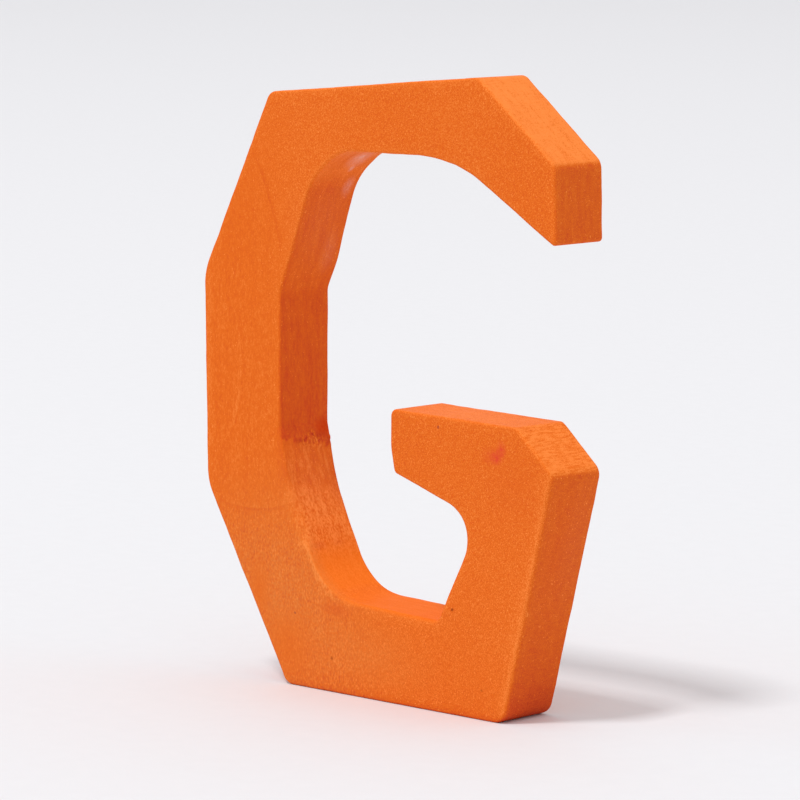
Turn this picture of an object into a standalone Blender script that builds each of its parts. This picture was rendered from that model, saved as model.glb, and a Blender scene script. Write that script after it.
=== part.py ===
"""Wooden letter: a capital G sawn from one board, sanded along its rims and stained orange.

Metres, +Z up. The letter stands on its foot and faces -Y. The origin is on the ground, under the
middle of the outline and of the board's thickness.
"""

import math

import bmesh
import bpy
from mathutils import Vector

MM = 0.001

# The board
BOARD_THICKNESS = 10.0 * MM
RIM_RADIUS = 0.5 * MM  # sanding along the rims of both faces

# Overall outline, between the spine's outer side, the tip, the ground and the top
LETTER_WIDTH = 65.9 * MM
LETTER_HEIGHT = 86.9 * MM

# Strokes, as thick as the wood that is left between the outside and the hollow
SPINE_STROKE = 15.0 * MM
FOOT_STROKE = 12.5 * MM
ARM_STROKE = 10.9 * MM

# Outer cuts on the left: two slanted cuts meet the spine's side, which leans a little
FOOT_START = 16.9 * MM  # from the spine's side to the foot's left end
LOWER_CUT_HEIGHT = 27.2 * MM
UPPER_CUT_DROP = 30.0 * MM  # from the top
SPINE_LEAN = 0.9 * MM
TOP_START = 12.6 * MM  # from the spine's side to the top's left end
TOP_RISE = 3.9 * MM  # the top climbs to the right

# Arm's tip at the upper right
TIP_CUT_RUN = 14.3 * MM
TIP_CUT_FALL = 11.0 * MM
TIP_END = 11.1 * MM  # length of the sawn end
TIP_LEAN = 0.5 * MM
BROW_INSET = 18.8 * MM  # from the tip's end to where its underside turns level

# Right leg and crossbar
LEG_SLANT = 8.3 * MM  # the leg's side comes in by this much from shoulder to foot
SHOULDER_HEIGHT = 34.6 * MM
BAR_CUT_RUN = 6.8 * MM
BAR_CUT_RISE = 5.9 * MM
BAR_LENGTH = 29.5 * MM  # from the shoulder to the bar's free end
BAR_CLIMB = 0.4 * MM  # the bar's top climbs to its free end
BAR_SQUARE = 5.5 * MM  # upright length of the free end
BAR_DEPTH = 8.8 * MM
BAR_UNDERCUT = 0.8 * MM  # the end slopes back below its upright length

# Bowl under the crossbar
BOWL_INSET = 13.2 * MM  # from the shoulder to the bowl's corner
BOWL_HEIGHT = 27.2 * MM
BOWL_FLOOR_INSET = 20.4 * MM  # from the shoulder to the corner where the bowl meets the floor

# Inner side of the spine, sawn in four passes
FLOOR_CLIMB = 0.7 * MM  # the hollow's floor climbs to the left
WELL_RUN = 9.3 * MM
HOLLOW_RUN = 2.2 * MM
HOLLOW_HEIGHT = 27.1 * MM
RIDGE_RUN = 0.2 * MM
RIDGE_HEIGHT = 36.0 * MM
KNEE_DROP = 32.4 * MM  # from the top
CROOK_RUN = 7.0 * MM
CROOK_SAG = 0.6 * MM

# Rounding of the corners in the outline
FOOT_LEFT_RADIUS = 1.7 * MM
FOOT_RIGHT_RADIUS = 2.4 * MM
SHOULDER_RADIUS = 1.9 * MM
BAR_RADIUS = 0.9 * MM
BAR_END_RADIUS = 8.0 * MM
BOWL_RADIUS = 5.0 * MM
BOWL_FLOOR_RADIUS = 1.5 * MM
WELL_RADIUS = 9.5 * MM
HOLLOW_RADIUS = 27.0 * MM
RIDGE_RADIUS = 0.8 * MM
KNEE_RADIUS = 4.0 * MM
CROOK_RADIUS = 10.5 * MM
BROW_RADIUS = 23.5 * MM
TIP_LOW_RADIUS = 0.7 * MM
TIP_HIGH_RADIUS = 1.7 * MM
TOP_RADIUS = 1.1 * MM
SPINE_RADIUS = 2.0 * MM

# Facets
ARC_STEP = math.radians(10)
RIM_SEGMENTS = 3
RIM_ANGLE = math.radians(60)  # only the rims turn more sharply than this
SMOOTH_ANGLE = math.radians(35)

# Finish
ORANGE_STAIN = "#e66a23"
STAIN_ROUGHNESS = 0.62


def letter_corners():
    """The outline's sharp corners as (x, z, radius), anticlockwise from the foot's left end."""
    left, right = -LETTER_WIDTH / 2, LETTER_WIDTH / 2
    top = LETTER_HEIGHT
    spine = left + SPINE_STROKE
    ceiling = top - ARM_STROKE
    bar_right = SHOULDER_HEIGHT + BAR_CUT_RISE
    bar_left = bar_right + BAR_CLIMB
    bar_end = right - BAR_LENGTH
    tip_top = top - TIP_CUT_FALL
    return [
        (left + FOOT_START, 0.0, FOOT_LEFT_RADIUS),
        (right - LEG_SLANT, 0.0, FOOT_RIGHT_RADIUS),
        (right, SHOULDER_HEIGHT, SHOULDER_RADIUS),
        (right - BAR_CUT_RUN, bar_right, BAR_RADIUS),
        (bar_end, bar_left, BAR_RADIUS),
        (bar_end, bar_left - BAR_SQUARE, BAR_END_RADIUS),
        (bar_end + BAR_UNDERCUT, bar_left - BAR_DEPTH, BAR_RADIUS),
        (right - BOWL_INSET, BOWL_HEIGHT, BOWL_RADIUS),
        (right - BOWL_FLOOR_INSET, FOOT_STROKE, BOWL_FLOOR_RADIUS),
        (spine + WELL_RUN, FOOT_STROKE + FLOOR_CLIMB, WELL_RADIUS),
        (spine + HOLLOW_RUN, HOLLOW_HEIGHT, HOLLOW_RADIUS),
        (spine + RIDGE_RUN, RIDGE_HEIGHT, RIDGE_RADIUS),
        (spine, top - KNEE_DROP, KNEE_RADIUS),
        (spine + CROOK_RUN, ceiling - CROOK_SAG, CROOK_RADIUS),
        (right - BROW_INSET, ceiling, BROW_RADIUS),
        (right, tip_top - TIP_END, TIP_LOW_RADIUS),
        (right - TIP_LEAN, tip_top, TIP_HIGH_RADIUS),
        (right - TIP_CUT_RUN, top, TOP_RADIUS),
        (left + TOP_START, top - TOP_RISE, TOP_RADIUS),
        (left, top - UPPER_CUT_DROP, SPINE_RADIUS),
        (left + SPINE_LEAN, LOWER_CUT_HEIGHT, SPINE_RADIUS),
    ]


def rounded_corner(before, corner, after, radius):
    """Points of the arc that rounds a corner; its cuts are never used up past their middle."""
    back, ahead = before - corner, after - corner
    half_angle = back.angle(ahead) / 2
    reach = min(radius / math.tan(half_angle), back.length / 2, ahead.length / 2)
    arc_radius = reach * math.tan(half_angle)
    middle = (back.normalized() + ahead.normalized()).normalized()
    centre = corner + middle * (arc_radius / math.sin(half_angle))
    start = corner + back.normalized() * reach - centre
    end = corner + ahead.normalized() * reach - centre
    steps = max(1, math.ceil(start.angle(end) / ARC_STEP))
    return [centre + start.slerp(end, step / steps) * arc_radius for step in range(steps + 1)]


def letter_outline():
    """The rounded outline as (x, z) vectors, anticlockwise."""
    corners = letter_corners()
    points = [Vector((x, z)) for x, z, _ in corners]
    outline = []
    for index, (_, _, radius) in enumerate(corners):
        after = points[(index + 1) % len(points)]
        outline += rounded_corner(points[index - 1], points[index], after, radius)
    return outline


def letter_mesh():
    """The sawn board with sharp rims: the outline pulled through the board's thickness."""
    shape = bmesh.new()
    front = [shape.verts.new((x, -BOARD_THICKNESS / 2, z)) for x, z in letter_outline()]
    face = shape.faces.new(front)
    pulled = bmesh.ops.extrude_face_region(shape, geom=[face])["geom"]
    back = [part for part in pulled if isinstance(part, bmesh.types.BMVert)]
    bmesh.ops.translate(shape, verts=back, vec=(0.0, BOARD_THICKNESS, 0.0))
    bmesh.ops.recalc_face_normals(shape, faces=shape.faces)
    mesh = bpy.data.meshes.new("letter_body")
    shape.to_mesh(mesh)
    shape.free()
    mesh.shade_smooth()
    mesh.set_sharp_from_angle(angle=SMOOTH_ANGLE)
    return mesh


def linear_colour(hex_colour):
    """An sRGB hex colour as linear red, green, blue and full alpha."""
    channels = [int(hex_colour[i : i + 2], 16) / 255 for i in (1, 3, 5)]
    return [c / 12.92 if c <= 0.04045 else ((c + 0.055) / 1.055) ** 2.4 for c in channels] + [1.0]


def stained_wood():
    """Fine pale hardwood, sanded and stained orange, with no lacquer over it."""
    material = bpy.data.materials.new("orange_stained_wood")
    material.use_nodes = True
    surface = material.node_tree.nodes["Principled BSDF"]
    surface.inputs["Base Color"].default_value = linear_colour(ORANGE_STAIN)
    surface.inputs["Roughness"].default_value = STAIN_ROUGHNESS
    surface.inputs["Metallic"].default_value = 0.0
    return material


def make_letter():
    """The letter's one piece of wood, with its rims sanded round."""
    letter = bpy.data.objects.new("letter_body", letter_mesh())
    letter.data.materials.append(stained_wood())
    sanding = letter.modifiers.new("sanded_rims", "BEVEL")
    sanding.width = RIM_RADIUS
    sanding.segments = RIM_SEGMENTS
    sanding.limit_method = "ANGLE"
    sanding.angle_limit = RIM_ANGLE
    bpy.context.scene.collection.objects.link(letter)


def main():
    """Clear the scene and make the letter."""
    for old in list(bpy.data.objects):
        bpy.data.objects.remove(old, do_unlink=True)
    make_letter()


main()
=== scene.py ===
"""Looks of the wooden letter: its hand-sawn mesh, its orange stain and a pale studio round it.

Blender works in metres with +Z up, and the letter faces -Y. Sizes held by the classes are
millimetres and degrees, unless their note says otherwise.
"""

import logging
import math
from collections.abc import Sequence
from dataclasses import dataclass
from enum import Enum
from typing import Any

import bpy
import numpy as np
from mathutils import Matrix, Vector, geometry, noise


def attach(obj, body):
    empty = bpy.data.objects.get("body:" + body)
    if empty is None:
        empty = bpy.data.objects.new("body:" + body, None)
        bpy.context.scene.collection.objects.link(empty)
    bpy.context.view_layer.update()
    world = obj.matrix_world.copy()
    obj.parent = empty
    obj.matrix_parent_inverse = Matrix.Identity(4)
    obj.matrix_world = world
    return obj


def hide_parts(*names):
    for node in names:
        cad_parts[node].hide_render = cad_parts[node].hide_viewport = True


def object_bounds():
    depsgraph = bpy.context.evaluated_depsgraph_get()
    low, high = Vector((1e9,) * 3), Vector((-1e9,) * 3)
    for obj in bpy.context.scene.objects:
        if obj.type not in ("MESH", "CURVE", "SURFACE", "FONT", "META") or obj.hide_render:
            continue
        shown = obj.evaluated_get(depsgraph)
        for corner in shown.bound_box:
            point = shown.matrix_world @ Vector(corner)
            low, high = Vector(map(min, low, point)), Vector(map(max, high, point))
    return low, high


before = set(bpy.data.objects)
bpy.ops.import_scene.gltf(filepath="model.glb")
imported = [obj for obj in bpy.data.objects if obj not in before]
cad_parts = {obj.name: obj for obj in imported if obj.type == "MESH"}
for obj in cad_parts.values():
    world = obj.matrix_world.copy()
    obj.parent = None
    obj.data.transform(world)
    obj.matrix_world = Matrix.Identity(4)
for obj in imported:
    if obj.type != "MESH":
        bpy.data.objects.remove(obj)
cad_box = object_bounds()

LOG = logging.getLogger("wooden_letter")
MM = 0.001
NODE = "letter_body"
BODY = "root"

# Marks on the mesh that the stain reads: how pale it is, with painted light and shade of the walls and
# rims added in, and how bright it stayed
STAIN_WITH_PAINTED_LIGHT = "stain"
FLUSH = "flush"

NOISE_AVERAGE = 0.5


def linear(hex_colour: str) -> tuple[float, float, float, float]:
    """Turns an sRGB hex colour into the linear colour that a shader takes.

    Args:
        hex_colour: A colour such as "#e96b20".

    Returns:
        Linear red, green and blue by the sRGB curve, with an alpha of one.
    """
    channels = [int(hex_colour[place:place + 2], 16) / 255 for place in (1, 3, 5)]
    red, green, blue = [c / 12.92 if c <= 0.04045 else ((c + 0.055) / 1.055) ** 2.4 for c in channels]
    return red, green, blue, 1.0


def add_node(
    tree: bpy.types.NodeTree,
    kind: str,
    inputs: dict[str | int, Any] | None = None,
    **settings: Any,
) -> bpy.types.Node:
    """Adds one shader node with its settings, values and links.

    Args:
        tree: The node tree that takes the node.
        kind: The node's type, without the ShaderNode that all of them start with.
        inputs: A value for an input, or the output socket that feeds it, by name or place.
        settings: The node's own properties.

    Returns:
        The new node.
    """
    node = tree.nodes.new("ShaderNode" + kind)
    for name, value in settings.items():
        setattr(node, name, value)
    for key, value in (inputs or {}).items():
        if isinstance(value, bpy.types.NodeSocket):
            tree.links.new(value, node.inputs[key])
        else:
            node.inputs[key].default_value = value
    return node


def towards(azimuth: float, elevation: float) -> Vector:
    """Gives the direction from the letter to a lamp or the camera.

    Args:
        azimuth: Degrees round from the letter's front towards its right.
        elevation: Degrees above the ground.

    Returns:
        A unit vector.
    """
    turn, rise = math.radians(azimuth), math.radians(elevation)
    return Vector((math.sin(turn) * math.cos(rise), -math.cos(turn) * math.cos(rise), math.sin(rise)))


def eased(share: np.ndarray) -> np.ndarray:
    """Eases a share from 0 to 1 in and out."""
    return share * share * (3 - 2 * share)


def bell(away: np.ndarray, reach: float) -> np.ndarray:
    """Gives a bell curve that is one in its middle and about a third at its reach."""
    return np.exp(-((away / reach) ** 2))


@dataclass(frozen=True)
class Corner:
    """One corner of the sawn outline.

    Attributes:
        x: Place along the letter's width.
        z: Height above the ground.
        radius: Rounding of the corner, seen from the front.
        front_dx: How far the saw drifted sideways on the front face.
        back_dx: How far the saw drifted sideways on the back face.
        ease: How far on both sides of the corner one cut's finish runs into the next.
    """

    x: float
    z: float
    radius: float
    front_dx: float = 0.0
    back_dx: float = 0.0
    ease: float = 0.8


@dataclass(frozen=True)
class Cut:
    """The finish of one saw cut, from its corner to the next.

    Attributes:
        stain: How much paler its wall is painted, or deeper where negative; this is mostly painted light
            and shade by the way the wall faces.
        lines: How strongly the saw's lines show, which run through the board.
        streaks: How strongly streaks show, which run along the cut.
        torn: How far the fibres are torn.
        rim: How far sandpaper rounded the front rim.
        wear_and_shade: How much paler the front rim is worn, or darker where negative, which is painted
            shade.
        spare: How much wood the saw left outside the drawing.
        flush: How bright and red the stain stayed, where the wood was pared smooth.
    """

    # Plain walls are painted a little deeper than the faces: painted shade on walls turned from the
    # light.
    stain: float = -0.2
    lines: float = 0.5
    streaks: float = 0.4
    torn: float = 0.0
    rim: float = 0.35
    wear_and_shade: float = 0.06
    spare: float = 0.02
    flush: float = 0.0


@dataclass(frozen=True)
class TracedOutline:
    """The outline as closely spaced stations, anticlockwise from the foot's left end.

    Attributes:
        points: Place of each station, as x and z.
        inward: Unit vector into the wood at each station.
        run: Length of the saw's path up to each station.
        marks: Length of the saw's path up to the middle of each corner.
        ease: How far each corner blends the finish of its two cuts.
        length: The whole path's length.
    """

    points: np.ndarray
    inward: np.ndarray
    run: np.ndarray
    marks: np.ndarray
    ease: np.ndarray
    length: float

    def by_corner(self, values: Sequence[float]) -> np.ndarray:
        """Gives every station a value, eased between the values at the corners."""
        return np.interp(self.run, self.marks, values, period=self.length)

    def by_cut(self, values: Sequence[float], run: np.ndarray) -> np.ndarray:
        """Gives places along the path the value of their cut, eased round the corners.

        Args:
            values: A value for the cut that starts at each corner.
            run: Length of the saw's path up to each place.

        Returns:
            The value at each place.
        """
        breaks = np.column_stack((self.marks - self.ease, self.marks + self.ease)).ravel()
        levels = np.column_stack((np.roll(values, 1), values)).ravel()
        return np.interp(run, breaks, levels, period=self.length)


@dataclass(frozen=True)
class LetterOutline:
    """The letter's drawing: straight saw cuts that meet in rounded corners.

    Attributes:
        width: From the spine's outer side to the tip.
        height: From the ground to the top.
        spine_stroke: Wood between the outside and the hollow, at the spine.
        foot_stroke: The same at the foot.
        arm_stroke: The same at the arm.
        foot_start: From the spine's side to the foot's left end.
        lower_cut_height: Height where the lower slanted cut meets the spine's side.
        upper_cut_drop: From the top to where the upper slanted cut meets it.
        spine_lean: How far the spine's side leans in at its lower end.
        top_start: From the spine's side to the top's left end.
        top_rise: How far the top climbs to the right.
        tip_cut_run: Width of the slanted cut above the tip.
        tip_cut_fall: Height of that cut.
        tip_end: Length of the tip's sawn end.
        tip_lean: How far that end leans.
        brow_inset: From the tip's end to where its underside turns level.
        leg_slant: How far the leg's side comes in from the shoulder to the foot.
        shoulder_height: Height of the shoulder.
        bar_cut_run: Width of the slanted cut between the shoulder and the bar's top.
        bar_cut_rise: Height of that cut.
        bar_length: From the shoulder to the bar's free end.
        bar_climb: How far the bar's top climbs to its free end.
        bar_square: Upright length of the free end.
        bar_depth: Height of the free end.
        bar_undercut: How far the end slopes back below its upright length.
        bowl_inset: From the shoulder to the bowl's corner under the bar.
        bowl_height: Height of that corner.
        bowl_floor_inset: From the shoulder to where the bowl meets the floor.
        floor_climb: How far the hollow's floor climbs to the left.
        well_run: From the spine's inner side to the well's corner.
        hollow_run: From the spine's inner side to the hollow's corner.
        hollow_height: Height of the hollow's corner.
        ridge_run: From the spine's inner side to the ridge.
        ridge_height: Height of the ridge.
        knee_drop: From the top to the knee above the ridge.
        crook_run: From the spine's inner side to the crook under the arm.
        crook_drop: From the top to the crook.
        arch_run: From the spine's inner side to the arch.
        arch_sag: How far the arch hangs below the arm's underside.
        spacing: Spacing of the stations along the saw's path.
        arc_step: Most that the path turns between two stations of a corner.
    """

    width: float = 65.9
    height: float = 86.9
    spine_stroke: float = 15.0
    foot_stroke: float = 12.5
    arm_stroke: float = 10.9
    foot_start: float = 16.9
    lower_cut_height: float = 27.2
    upper_cut_drop: float = 30.0
    spine_lean: float = 0.9
    top_start: float = 12.6
    top_rise: float = 3.9
    tip_cut_run: float = 14.3
    tip_cut_fall: float = 11.0
    tip_end: float = 11.1
    tip_lean: float = 0.5
    brow_inset: float = 19.05
    leg_slant: float = 8.3
    shoulder_height: float = 34.6
    bar_cut_run: float = 6.8
    bar_cut_rise: float = 5.9
    bar_length: float = 29.5
    bar_climb: float = 0.4
    bar_square: float = 5.5
    bar_depth: float = 8.8
    bar_undercut: float = 0.8
    bowl_inset: float = 13.2
    bowl_height: float = 27.2
    bowl_floor_inset: float = 20.4
    floor_climb: float = 0.7
    well_run: float = 9.3
    hollow_run: float = 2.2
    hollow_height: float = 27.1
    ridge_run: float = 0.2
    ridge_height: float = 36.0
    knee_drop: float = 31.7
    crook_run: float = 5.75
    crook_drop: float = 15.7
    arch_run: float = 10.8
    arch_sag: float = 0.5
    spacing: float = 0.27
    arc_step: float = 7.0

    def corners(self) -> dict[str, Corner]:
        """Places the outline's corners.

        Returns:
            The corners by name, anticlockwise from the foot's left end.
        """
        left, right, top = -self.width / 2, self.width / 2, self.height
        spine = left + self.spine_stroke
        ceiling = top - self.arm_stroke
        bar_right = self.shoulder_height + self.bar_cut_rise
        bar_left = bar_right + self.bar_climb
        bar_end = right - self.bar_length
        tip_top = top - self.tip_cut_fall
        floor = self.foot_stroke
        return {
            "foot_left": Corner(left + self.foot_start, 0.0, radius=2.2),
            "foot_right": Corner(right - self.leg_slant, 0.0, radius=2.3, front_dx=0.17, back_dx=-0.12),
            "shoulder": Corner(
                right, self.shoulder_height, radius=1.9, front_dx=-0.1, back_dx=0.1, ease=0.3
            ),
            "bar_cut": Corner(right - self.bar_cut_run, bar_right, radius=0.9),
            "bar_top": Corner(bar_end, bar_left, radius=0.9),
            "bar_square": Corner(bar_end, bar_left - self.bar_square, radius=8.0),
            "bar_low": Corner(bar_end + self.bar_undercut, bar_left - self.bar_depth, radius=0.9),
            "bowl": Corner(right - self.bowl_inset, self.bowl_height, radius=5.0),
            "bowl_floor": Corner(right - self.bowl_floor_inset, floor, radius=1.5),
            "well": Corner(spine + self.well_run, floor + self.floor_climb, radius=9.5, ease=2.5),
            "hollow": Corner(spine + self.hollow_run, self.hollow_height, radius=27.0, ease=2.0),
            "ridge": Corner(spine + self.ridge_run, self.ridge_height, radius=0.8, ease=0.12),
            "knee": Corner(spine, top - self.knee_drop, radius=2.0, ease=0.7),
            "crook": Corner(spine + self.crook_run, top - self.crook_drop, radius=10.0, ease=1.5),
            "arch": Corner(spine + self.arch_run, ceiling - self.arch_sag, radius=8.0, ease=2.0),
            "brow": Corner(right - self.brow_inset, ceiling, radius=23.5),
            "tip_low": Corner(right, tip_top - self.tip_end, radius=0.6, back_dx=-0.25),
            "tip_high": Corner(right - self.tip_lean, tip_top, radius=1.9, back_dx=-0.09, ease=0.3),
            "top_right": Corner(right - self.tip_cut_run, top, radius=1.8, front_dx=-0.06),
            "top_left": Corner(left + self.top_start, top - self.top_rise, radius=1.9),
            "hip_high": Corner(left, top - self.upper_cut_drop, radius=7.5),
            "hip_low": Corner(left + self.spine_lean, self.lower_cut_height, radius=7.0),
        }

    def rounding(self, before: Vector, corner: Vector, after: Vector, radius: float) -> list[Vector]:
        """Rounds one corner, using up no more than half of either cut.

        Args:
            before: The corner that the saw comes from.
            corner: The corner that is rounded.
            after: The corner that the saw goes to.
            radius: The wanted radius.

        Returns:
            Stations along the arc, with both of its ends.
        """
        back, ahead = before - corner, after - corner
        half_angle = back.angle(ahead) / 2
        reach = min(radius / math.tan(half_angle), back.length / 2, ahead.length / 2)
        arc_radius = reach * math.tan(half_angle)
        middle = (back.normalized() + ahead.normalized()).normalized()
        centre = corner + middle * (arc_radius / math.sin(half_angle))
        start = (corner + back.normalized() * reach - centre).normalized()
        end = (corner + ahead.normalized() * reach - centre).normalized()
        sweep = start.angle(end)
        by_length = math.ceil(sweep * arc_radius / self.spacing)
        by_angle = math.ceil(sweep / math.radians(self.arc_step))
        steps = max(2, by_length, by_angle)
        return [centre + start.slerp(end, step / steps) * arc_radius for step in range(steps + 1)]

    def straight(self, start: Vector, end: Vector) -> list[Vector]:
        """Gives the stations between a straight cut's two ends."""
        steps = max(1, math.ceil((end - start).length / self.spacing))
        return [start.lerp(end, step / steps) for step in range(1, steps)]

    def trace(self) -> TracedOutline:
        """Follows the saw once round the letter.

        Returns:
            The outline's stations, with the way into the wood at each.
        """
        corners = list(self.corners().values())
        sharp = [Vector((corner.x, corner.z)) for corner in corners]
        after = sharp[1:] + sharp[:1]
        arcs = [
            self.rounding(sharp[index - 1], sharp[index], after[index], corner.radius)
            for index, corner in enumerate(corners)
        ]
        path: list[Vector] = []
        middles: list[int] = []
        for arc, following in zip(arcs, arcs[1:] + arcs[:1]):
            middles.append(len(path) + len(arc) // 2)
            path += arc + self.straight(arc[-1], following[0])
        points = np.array(path)
        steps = np.linalg.norm(np.roll(points, -1, axis=0) - points, axis=1)
        run = np.concatenate(([0.0], np.cumsum(steps)[:-1]))
        along = np.roll(points, -1, axis=0) - np.roll(points, 1, axis=0)
        along /= np.linalg.norm(along, axis=1, keepdims=True)
        inward = np.column_stack((-along[:, 1], along[:, 0]))
        ease = np.array([corner.ease for corner in corners])
        return TracedOutline(points, inward, run, run[middles], ease, float(steps.sum()))


@dataclass(frozen=True)
class Unevenness:
    """How far a hand-held saw and sandpaper stray from the drawing.

    Attributes:
        depth: Most that the wood strays.
        along: Length of one stray along the saw's path.
        across: Length of one stray through the board's thickness.
        seed: A number that gives each kind of stray a pattern of its own.
    """

    depth: float
    along: float
    across: float
    seed: float

    def field(self, run: np.ndarray, depth: np.ndarray) -> np.ndarray:
        """Samples the stray over the sawn walls.

        Args:
            run: Length along the saw's path at each point.
            depth: Depth behind the front face at each point.

        Returns:
            The stray at each point.
        """
        places = zip((run / self.along).flat, (depth / self.across).flat)
        values = [noise.noise(Vector((along, across, self.seed))) for along, across in places]
        return self.depth * np.array(values).reshape(run.shape)


@dataclass(frozen=True)
class Wave:
    """A place where the saw strayed on the back of the spine's inner side.

    Attributes:
        height: Its height above the ground.
        dent: How far the saw went into the wood, or out of it where negative.
        reach: How far up and down it fades.
    """

    height: float
    dent: float
    reach: float


@dataclass(frozen=True)
class FrayedWall:
    """What the frayed edge does to the walls, point by point.

    Attributes:
        run: Length along the saw's path, bent so that the ridge falls on the frayed edge.
        stain: How much paler the wall is, from pale splinters, or deeper where the painted shade along
            the edge darkens it.
        torn: How torn the wood is.
        fibres: How far torn fibres stand out of the wall.
    """

    run: np.ndarray
    stain: np.ndarray
    torn: np.ndarray
    fibres: np.ndarray


@dataclass(frozen=True)
class FrayedEdge:
    """The edge below the ridge, where two saw cuts met and fibres tore.

    Attributes:
        drop: How far below the ridge it lies on the front.
        slope: How much lower it lies on the back.
        bend_reach: How far from the ridge the finish of the two cuts bends along with it.
        wander: How it wanders up and down through the board.
        ends: How single fibres stick out of its line.
        fibre: How far torn fibres stand out of the wall.
        rise: How far above the edge the wood is most torn.
        spread: How far up and down from there the tear fades.
        front_tear: How torn it is on the front, as a share of the back.
        splinters: How much more torn it is where splinters stand up.
        splinter_rise: How far above the edge the splinters are thickest.
        splinter_spread: How far up and down from there they fade.
        splinter_depth: Where they are thickest, as a share of the board's thickness.
        splinter_width: How far from there they fade, as a share of the thickness.
        splinter_pale: How much paler they are.
        crease_shade: How much darker the wall is painted along the edge, on the back: painted shade in
            the crease where the two cuts meet.
        front_crease_shade: How much of that shows on the front, as a share of the back.
        crease_shade_above: How far above the edge the painted shade fades.
        crease_shade_below: How far below the edge it fades.
    """

    drop: float = 1.55
    slope: float = 2.7
    bend_reach: float = 5.0
    wander: Unevenness = Unevenness(depth=0.8, along=60.0, across=1.1, seed=5.2)
    ends: Unevenness = Unevenness(depth=0.9, along=3.0, across=0.5, seed=8.6)
    fibre: Unevenness = Unevenness(depth=0.36, along=0.45, across=0.5, seed=3.3)
    rise: float = 0.3
    spread: float = 1.1
    front_tear: float = 0.2
    splinters: float = 3.0
    splinter_rise: float = 0.7
    splinter_spread: float = 1.2
    splinter_depth: float = 0.60
    splinter_width: float = 0.23
    splinter_pale: float = 0.19
    crease_shade: float = 0.38
    front_crease_shade: float = 0.35
    crease_shade_above: float = 2.0
    crease_shade_below: float = 0.3

    def tear(self, path: np.ndarray, ridge: float, depth: np.ndarray, thickness: float) -> FrayedWall:
        """Tears the walls along the edge.

        Args:
            path: Length along the saw's path at each station.
            ridge: Length of the path up to the ridge.
            depth: Depth behind the front face at each point.
            thickness: The board's thickness.

        Returns:
            What the edge does to the walls.
        """
        run = np.broadcast_to(path, depth.shape)
        through = depth / thickness
        wander = self.wander.field(run, depth) + self.ends.field(run, depth)
        bend = (self.drop + self.slope * through + wander) * bell(run - ridge, self.bend_reach)
        above = run + bend - ridge
        torn = bell(above - self.rise, self.spread) * (self.front_tear + (1 - self.front_tear) * through)
        splinters = bell(above - self.splinter_rise, self.splinter_spread)
        splinters = splinters * bell(through - self.splinter_depth, self.splinter_width)
        torn = torn + self.splinters * splinters
        # Painted shade: the walls are darkened along the edge, most on the back, and not among the
        # splinters.
        crease_shaded = np.exp(-np.abs(above) / np.where(above > 0, self.crease_shade_above, self.crease_shade_below))
        crease_shaded = crease_shaded * (self.front_crease_shade + (1 - self.front_crease_shade) * through) * (1 - splinters)
        stain = self.splinter_pale * splinters - self.crease_shade * crease_shaded
        fibres = np.abs(self.fibre.field(run + bend, depth)) * np.minimum(torn, 1.0)
        return FrayedWall(run + bend, stain, torn, fibres)


class Reach(Enum):
    """Where a layer of the grain shows. A sawn wall's own marks carry these names on the mesh."""

    EVERYWHERE = "everywhere"
    LEFT = "towards the letter's left"
    RIGHT = "towards the letter's right"
    LOWER_LEFT = "towards the lower left"
    LINES = "lines"
    STREAKS = "streaks"
    TORN = "torn"


WALL_MARKS = (Reach.LINES, Reach.STREAKS, Reach.TORN)


@dataclass(frozen=True)
class GrainLayer:
    """One layer of the wood's pattern.

    Attributes:
        size: Size of one mark across the letter, through the board and up the grain.
        tone: How strongly the layer lightens the stain, or darkens it where negative.
        relief: How strongly it raises the surface.
        reach: Where it shows.
        low: The noise level at which a mark begins.
        high: The noise level at which a mark is full.
    """

    size: tuple[float, float, float]
    tone: float
    relief: float = 0.0
    reach: Reach = Reach.EVERYWHERE
    low: float = 0.0
    high: float = 1.0


@dataclass(frozen=True)
class Blemish:
    """A spot on the wood, or a patch that took the stain otherwise.

    Attributes:
        place: Its middle.
        reach: Its radii across the letter, through the board and up the grain.
        colour: Its colour.
        strength: How much of the stain it covers.
    """

    place: tuple[float, float, float]
    reach: tuple[float, float, float]
    colour: str
    strength: float


@dataclass(frozen=True)
class GrowthArc:
    """The end of one year's growth, where the board's face cuts it as part of an oval.

    Attributes:
        middle: The oval's middle, across the letter, through the board and up the grain.
        half_width: Half of the oval's width.
        half_height: Half of its height.
        shown_at: The middle of the stretch that shows.
        shown: How far the line can be followed from there.
        dark: How much darker the wood is just outside the line, as a negative tone.
        pale: How much paler it is just inside.
    """

    middle: tuple[float, float, float]
    half_width: float
    half_height: float
    shown_at: tuple[float, float, float]
    shown: float
    dark: float
    pale: float


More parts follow.
